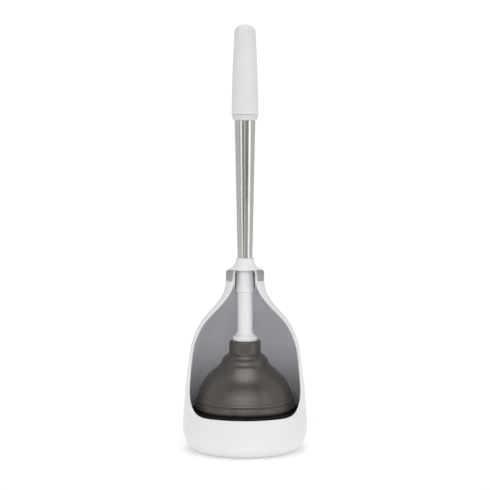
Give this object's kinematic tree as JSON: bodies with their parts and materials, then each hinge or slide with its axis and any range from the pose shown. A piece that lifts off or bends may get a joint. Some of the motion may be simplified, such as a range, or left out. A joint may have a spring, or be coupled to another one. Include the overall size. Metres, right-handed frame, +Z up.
{
  "type": "toilet plunger",
  "caption": "Toilet plunger with a tapered steel handle and a rubber cup, standing in an open-fronted bell-shaped holder that it draws forward out of; the cup gives when pressed.",
  "frame": {"origin": "on the floor under the common axis of plunger and holder, at the bottom of the holder's feet", "axes": "+Z up along the handle, -Y out of the holder's open front, +X to the right as seen from the front"},
  "size_m": [0.1798, 0.1798, 0.609],
  "materials": {
    "white_shell": "moulded white, satin gloss",
    "white_stem": "moulded white, satin gloss",
    "white_grip": "soft satin white",
    "white_ferrule": "satin off-white",
    "brushed_steel": "brushed along its length",
    "steel_band": "brushed, dull",
    "zinc": "zinc plated",
    "cup_rubber": "satin dark taupe rubber",
    "foot_rubber": "matte grey rubber",
    "grey_liner": "satin pale grey, dark only because it is inside",
    "black_plastic": "matte black"
  },
  "bodies": {
    "holder": {"outer_shell": "white_shell", "inner_liner": "grey_liner", "neck_guide": "white_shell", "neck_band": "steel_band", "drip_tray": "black_plastic", "base_plate": "black_plastic", "base_screw_1": "zinc", "base_screw_2": "zinc", "base_screw_3": "zinc", "base_screw_4": "zinc", "foot_1": "foot_rubber", "foot_2": "foot_rubber", "foot_3": "foot_rubber", "foot_4": "foot_rubber"},
    "plunger": {"grip_sleeve": "white_grip", "grip_core": "white_ferrule", "shaft_tube": "brushed_steel", "tie_rod": "zinc", "tie_nut": "zinc", "tie_washer": "zinc", "rest_collar": "white_stem", "lower_stem": "white_stem", "cup_screw": "zinc", "cup_washer": "zinc"},
    "cup": {"rubber_cup": "cup_rubber"}
  },
  "joints": [
    {"name": "plunger_draw", "type": "slide", "parent": "holder", "child": "plunger", "axis": [0, -0.8192, 0.5736], "range_m": [0, 0.215]},
    {"name": "cup_press", "type": "slide", "parent": "plunger", "child": "cup", "axis": [0, 0, 1], "range_m": [0, 0.03], "stiffness_N_per_m": 2500, "deforming": ["rubber_cup"]}
  ]
}
